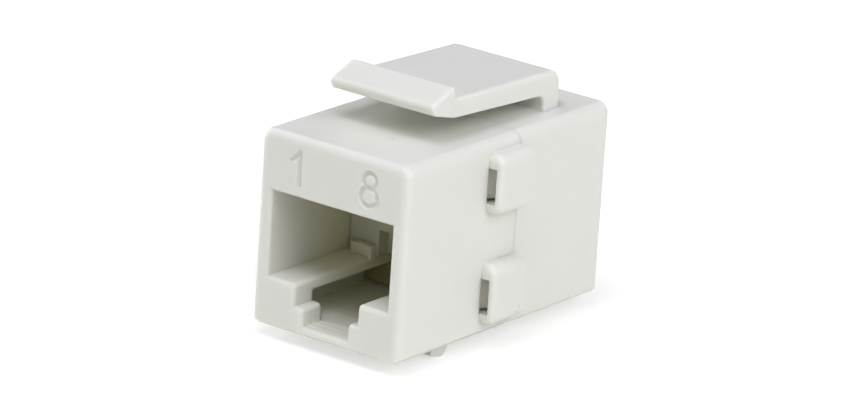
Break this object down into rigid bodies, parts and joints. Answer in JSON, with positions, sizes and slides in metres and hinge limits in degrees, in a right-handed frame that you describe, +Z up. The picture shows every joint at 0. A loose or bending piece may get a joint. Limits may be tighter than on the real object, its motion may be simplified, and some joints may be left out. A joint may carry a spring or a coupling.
{
  "type": "keystone inline coupler",
  "caption": "White snap-in coupler block for a wall plate, with a modular socket at each end, a sprung latch arm on top, a lug below and snap loops at the sides.",
  "frame": {"origin": "under the middle of the part, level with the underside of the lug", "axes": "+Y from the front socket to the rear socket, +Z up towards the latch arm, X across"},
  "size_m": [0.0172, 0.0266, 0.0216],
  "materials": {
    "white_plastic": "satin",
    "insert_plastic": "satin",
    "board_laminate": "semi-gloss",
    "gold_plate": "polished"
  },
  "bodies": {
    "housing": {"front_housing": "white_plastic", "rear_housing": "white_plastic", "circuit_board": "board_laminate", "front_contact_carrier": "insert_plastic", "rear_contact_carrier": "insert_plastic", "front_contact_1": "gold_plate", "front_contact_2": "gold_plate", "front_contact_3": "gold_plate", "front_contact_4": "gold_plate", "front_contact_5": "gold_plate", "front_contact_6": "gold_plate", "front_contact_7": "gold_plate", "front_contact_8": "gold_plate", "rear_contact_1": "gold_plate", "rear_contact_2": "gold_plate", "rear_contact_3": "gold_plate", "rear_contact_4": "gold_plate", "rear_contact_5": "gold_plate", "rear_contact_6": "gold_plate", "rear_contact_7": "gold_plate", "rear_contact_8": "gold_plate"},
    "latch": {"latch": "white_plastic"}
  },
  "joints": [
    {"name": "latch_press", "type": "hinge", "parent": "housing", "child": "latch", "pos_m": [0, 0.00808, 0.0172], "axis": [1, 0, 0], "range_deg": [0, 7], "stiffness_Nm_per_rad": 0.6}
  ]
}
